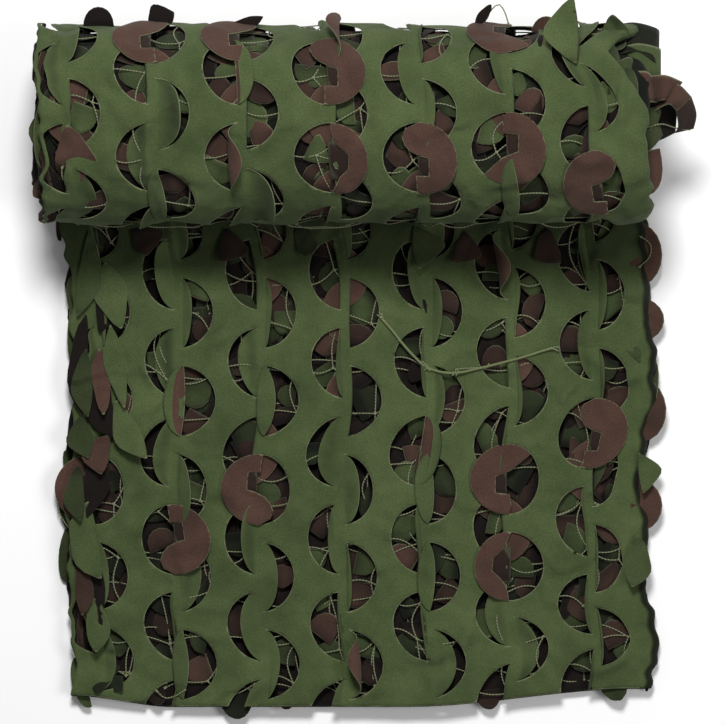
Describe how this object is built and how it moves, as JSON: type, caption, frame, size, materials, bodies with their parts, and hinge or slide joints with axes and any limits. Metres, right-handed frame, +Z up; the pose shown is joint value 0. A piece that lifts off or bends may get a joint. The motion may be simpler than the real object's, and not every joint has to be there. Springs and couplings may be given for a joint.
{
  "type": "camouflage net",
  "caption": "Camouflage net of incised green and brown cloth over a string net, folded in four plies, rolled up from one end, the other end left flat.",
  "frame": {"origin": "middle of the surface that the net lies on, under the middle of its outline", "axes": "+X across the folded strip, +Y along it from the flat free end to the roll, +Z up"},
  "size_m": [0.656, 0.6986, 0.174],
  "materials": {
    "garnish_cloth": "matte",
    "net_string": "matte"
  },
  "bodies": {
    "root": {"net_cloth": "garnish_cloth", "tie_cord": "net_string"}
  },
  "joints": []
}
